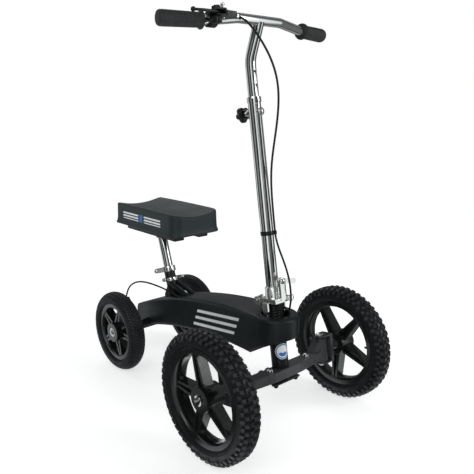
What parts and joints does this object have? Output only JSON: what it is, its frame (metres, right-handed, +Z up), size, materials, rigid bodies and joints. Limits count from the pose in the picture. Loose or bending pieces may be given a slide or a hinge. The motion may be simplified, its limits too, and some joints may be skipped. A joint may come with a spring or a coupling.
{
  "type": "knee scooter",
  "caption": "Four-wheeled steerable knee scooter with knobbly tyres, a height-adjustable knee pad, a folding column and a handlebar with one brake lever.",
  "frame": {"origin": "on the ground under the middle of the scooter's bounding box", "axes": "+X forward, +Y towards the rider's left, +Z up"},
  "size_m": [0.82, 0.531, 0.9989],
  "materials": {
    "frame_paint": "satin powder coat",
    "black_steel": "satin black",
    "chrome": "polished",
    "bare_steel": "machined",
    "lever_metal": "brushed",
    "zinc_bolts": "zinc plated",
    "tyre_rubber": "moulded",
    "rim_plastic": "satin black cast",
    "grip_rubber": "ribbed",
    "black_plastic": "moulded",
    "pad_friction": "friction material",
    "cushion_skin": "moulded foam skin",
    "cable_sheath": "extruded"
  },
  "bodies": {
    "frame": {"main_frame": "frame_paint", "head_tube": "black_steel", "axle_beam": "frame_paint", "kingpin_bushes": "black_plastic", "headset_bearings": "bare_steel", "beam_bolts": "chrome", "seat_tube": "frame_paint", "seat_clamp": "chrome", "seat_clamp_bolt": "chrome", "rear_axle": "black_steel", "rear_axle_bolts": "chrome", "brake_caliper": "black_steel", "brake_pads": "pad_friction", "brake_cable_rear": "cable_sheath"},
    "seat_lever": {"seat_clamp_lever": "chrome"},
    "caliper_lever": {"caliper_arm": "black_steel"},
    "knee_rest": {"seat_post": "chrome", "pad_bracket": "black_steel", "knee_cushion": "cushion_skin", "pad_bolts": "zinc_bolts"},
    "steering": {"steerer": "bare_steel", "steering_yoke": "chrome", "steering_boot": "grip_rubber", "pitman_arm": "black_steel", "fold_pin": "chrome"},
    "column": {"column_base": "chrome", "column_tube": "chrome", "height_screw": "zinc_bolts", "cable_strap": "black_plastic", "brake_cable_lower": "cable_sheath"},
    "latch": {"latch_lever": "chrome"},
    "knob": {"star_knob": "black_plastic"},
    "handlebars": {"stem_tube": "chrome", "handlebar": "chrome", "grip_right": "grip_rubber", "grip_left": "grip_rubber", "brake_perch": "black_steel", "perch_knobs": "black_plastic", "brake_cable_upper": "cable_sheath"},
    "lever": {"brake_lever": "lever_metal"},
    "parking": {"parking_pin": "chrome"},
    "knuckle_right_body": {"knuckle_right": "frame_paint", "fasteners_right": "chrome"},
    "tie_rod_right_body": {"tie_rod_right": "black_steel"},
    "wheel_front_right": {"tyre_front_right": "tyre_rubber", "rim_front_right": "rim_plastic", "bearings_front_right": "bare_steel"},
    "wheel_rear_right": {"tyre_rear_right": "tyre_rubber", "rim_rear_right": "rim_plastic", "bearings_rear_right": "bare_steel", "brake_disc": "bare_steel"},
    "knuckle_left_body": {"knuckle_left": "frame_paint", "fasteners_left": "chrome"},
    "tie_rod_left_body": {"tie_rod_left": "black_steel"},
    "wheel_front_left": {"tyre_front_left": "tyre_rubber", "rim_front_left": "rim_plastic", "bearings_front_left": "bare_steel"},
    "wheel_rear_left": {"tyre_rear_left": "tyre_rubber", "rim_rear_left": "rim_plastic", "bearings_rear_left": "bare_steel"}
  },
  "joints": [
    {"name": "steering", "type": "hinge", "parent": "frame", "child": "steering", "pos_m": [0.255, 0, 0.155], "axis": [-0.1564, 0, 0.9877], "range_deg": [-35, 35], "deforming": ["brake_cable_lower"]},
    {"name": "column_fold", "type": "hinge", "parent": "steering", "child": "column", "pos_m": [0.19664, 0, 0.31889], "axis": [0, -1, 0], "range_deg": [0, 42]},
    {"name": "fold_latch", "type": "hinge", "parent": "column", "child": "latch", "pos_m": [0.25053, 0, 0.37501], "axis": [0.9877, 0, 0.1564], "range_deg": [0, 60]},
    {"name": "height_knob", "type": "hinge", "parent": "column", "child": "knob", "pos_m": [0.1576, 0, 0.76994], "axis": [0.9877, 0, 0.1564], "continuous": true},
    {"name": "handlebar_height", "type": "slide", "parent": "column", "child": "handlebars", "axis": [-0.1564, 0, 0.9877], "range_m": [-0.062, 0.062], "deforming": ["brake_cable_upper"]},
    {"name": "brake", "type": "hinge", "parent": "handlebars", "child": "lever", "pos_m": [0.18385, -0.138, 0.97496], "axis": [0.1564, 0, -0.9877], "range_deg": [0, 18], "stiffness_Nm_per_rad": 1.2},
    {"name": "parking_lock", "type": "slide", "parent": "handlebars", "child": "parking", "axis": [0.1564, 0, -0.9877], "range_m": [0, 0.004], "stiffness_N_per_m": 300},
    {"name": "caliper_pull", "type": "hinge", "parent": "frame", "child": "caliper_lever", "pos_m": [-0.324, -0.0739, 0.17616], "axis": [0, 1, 0], "range_deg": [0, 9]},
    {"name": "knee_rest_height", "type": "slide", "parent": "frame", "child": "knee_rest", "axis": [-0.3057, 0, 0.9521], "range_m": [-0.07, 0.04]},
    {"name": "seat_quick_release", "type": "hinge", "parent": "frame", "child": "seat_lever", "pos_m": [-0.23114, 0.0155, 0.26649], "axis": [-0.3057, 0, 0.9521], "range_deg": [0, 150]},
    {"name": "knuckle_right", "type": "hinge", "parent": "frame", "child": "knuckle_right_body", "pos_m": [0.255, -0.153, 0.155], "axis": [-0.1564, 0, 0.9877], "range_deg": [-35, 35]},
    {"name": "tie_rod_right", "type": "hinge", "parent": "steering", "child": "tie_rod_right_body", "pos_m": [0.19574, -0.012, 0.14561], "axis": [-0.1564, 0, 0.9877], "range_deg": [-35, 35]},
    {"name": "front_wheel_right", "type": "hinge", "parent": "knuckle_right_body", "child": "wheel_front_right", "pos_m": [0.255, -0.2316, 0.155], "axis": [0, 1, 0], "continuous": true},
    {"name": "rear_wheel_right", "type": "hinge", "parent": "frame", "child": "wheel_rear_right", "pos_m": [-0.291, -0.136, 0.119], "axis": [0, 1, 0], "continuous": true},
    {"name": "knuckle_left", "type": "hinge", "parent": "frame", "child": "knuckle_left_body", "pos_m": [0.255, 0.153, 0.155], "axis": [-0.1564, 0, 0.9877], "range_deg": [-35, 35]},
    {"name": "tie_rod_left", "type": "hinge", "parent": "steering", "child": "tie_rod_left_body", "pos_m": [0.19574, 0.012, 0.14561], "axis": [-0.1564, 0, 0.9877], "range_deg": [-35, 35]},
    {"name": "front_wheel_left", "type": "hinge", "parent": "knuckle_left_body", "child": "wheel_front_left", "pos_m": [0.255, 0.2316, 0.155], "axis": [0, 1, 0], "continuous": true},
    {"name": "rear_wheel_left", "type": "hinge", "parent": "frame", "child": "wheel_rear_left", "pos_m": [-0.291, 0.136, 0.119], "axis": [0, 1, 0], "continuous": true}
  ],
  "couplings": [
    {"joint": "knuckle_right", "follows": "steering", "ratio": 1},
    {"joint": "knuckle_left", "follows": "steering", "ratio": 1},
    {"joint": "tie_rod_right", "follows": "steering", "ratio": -1},
    {"joint": "tie_rod_left", "follows": "steering", "ratio": -1},
    {"joint": "caliper_pull", "follows": "brake", "ratio": 0.5}
  ]
}
